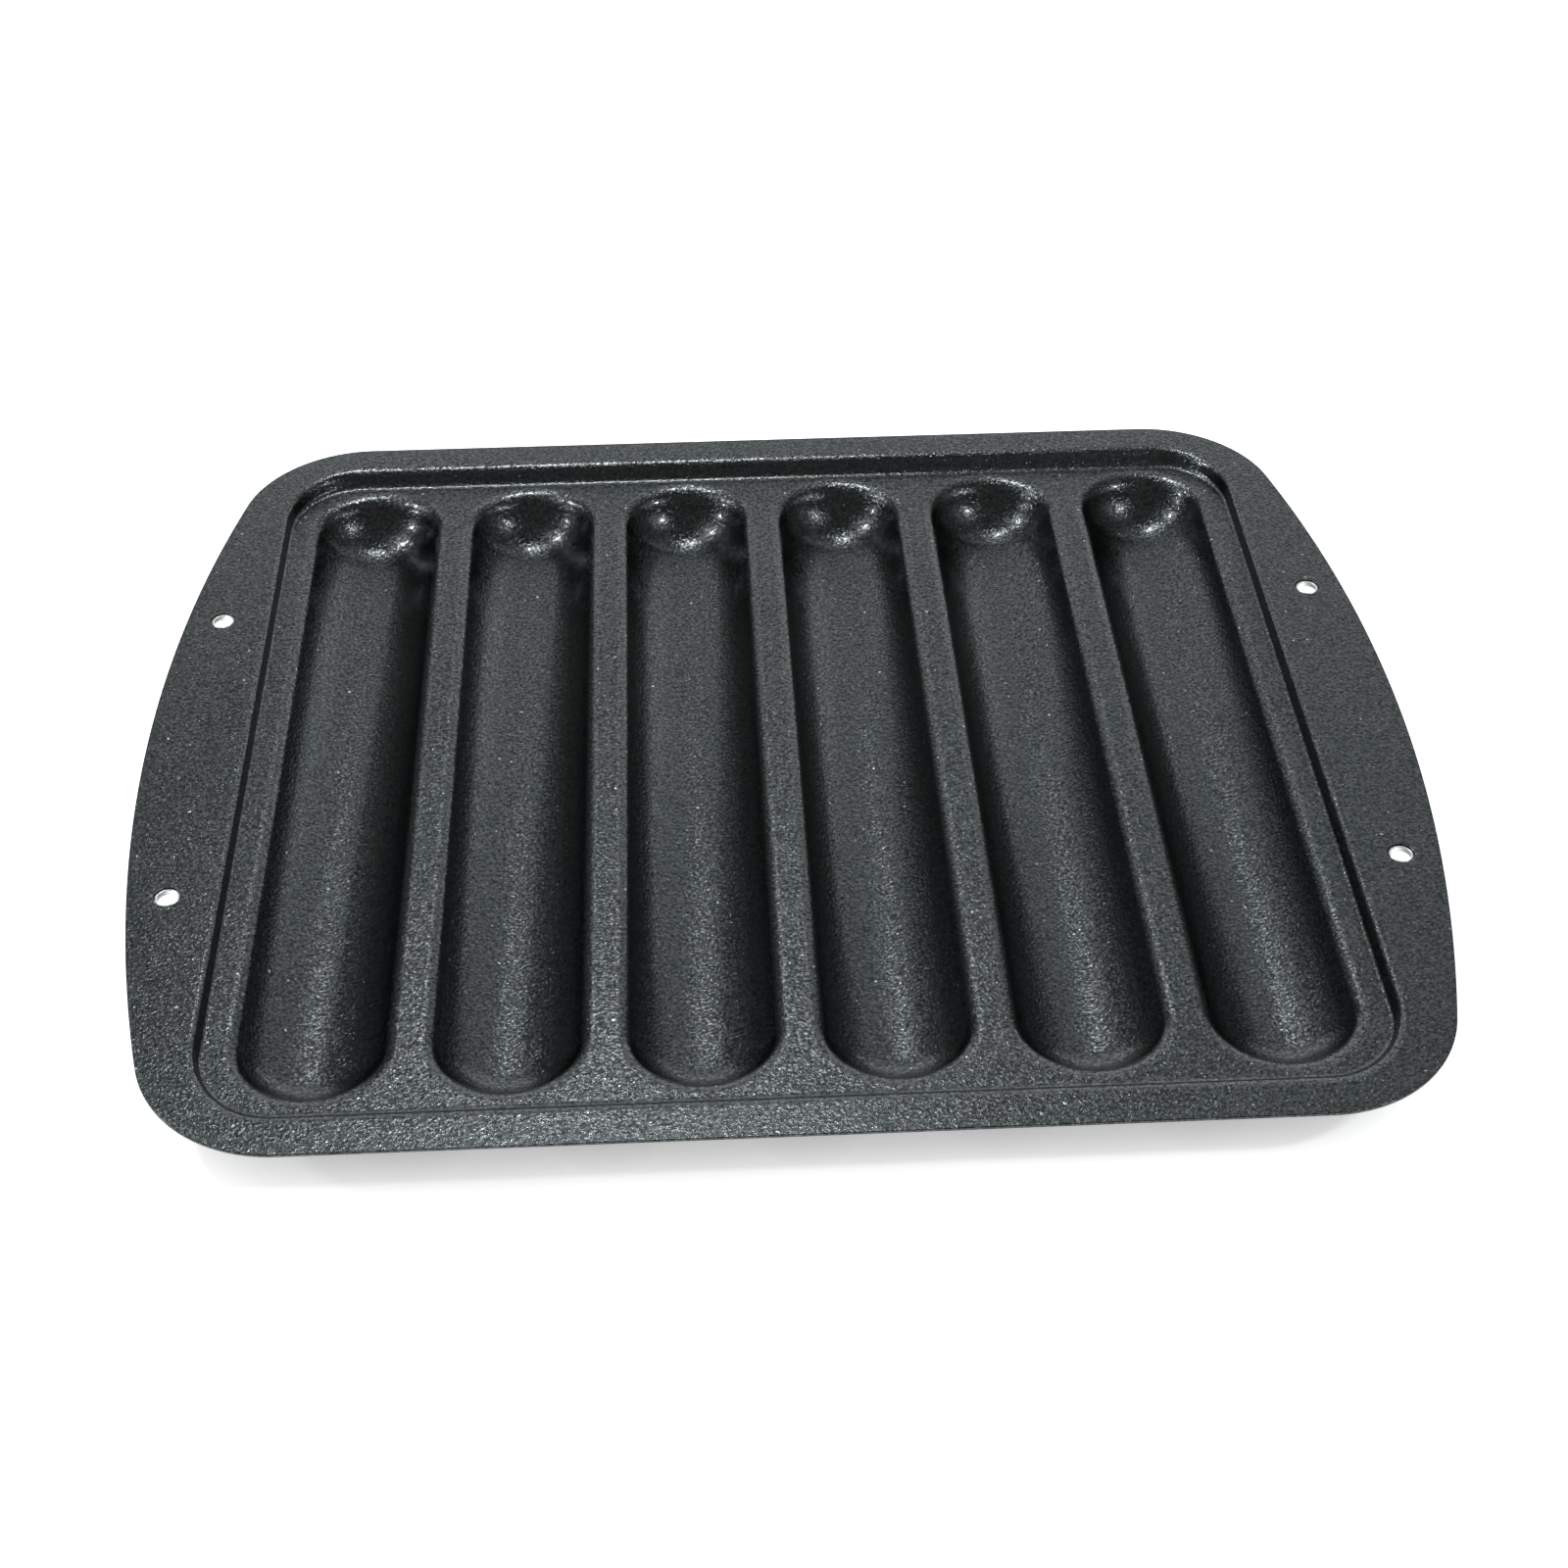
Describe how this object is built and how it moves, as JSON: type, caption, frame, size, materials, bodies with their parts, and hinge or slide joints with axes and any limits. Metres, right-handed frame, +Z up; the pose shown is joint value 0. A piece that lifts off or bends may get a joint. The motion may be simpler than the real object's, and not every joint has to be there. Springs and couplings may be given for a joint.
{
  "type": "channel grill pan",
  "caption": "Pressed non-stick grill pan: parallel rounded channels in a stepped recess, bulged side wings, eyelet-lined wing holes.",
  "frame": {"origin": "centre of the pan in plan, on the plane of the channels' undersides", "axes": "+Z up out of the channels, +X across the channels towards the right wing, +Y along the channels to the rear"},
  "size_m": [0.2986, 0.2502, 0.0156],
  "materials": {
    "coating": "dark slate-grey non-stick coating on pressed steel sheet, semi-matt, with a fine pale speckle",
    "eyelet": "bare aluminium, lightly dulled"
  },
  "bodies": {
    "root": {"pan_shell": "coating", "eyelet_front_left": "eyelet", "eyelet_front_right": "eyelet", "eyelet_rear_left": "eyelet", "eyelet_rear_right": "eyelet"}
  },
  "joints": []
}
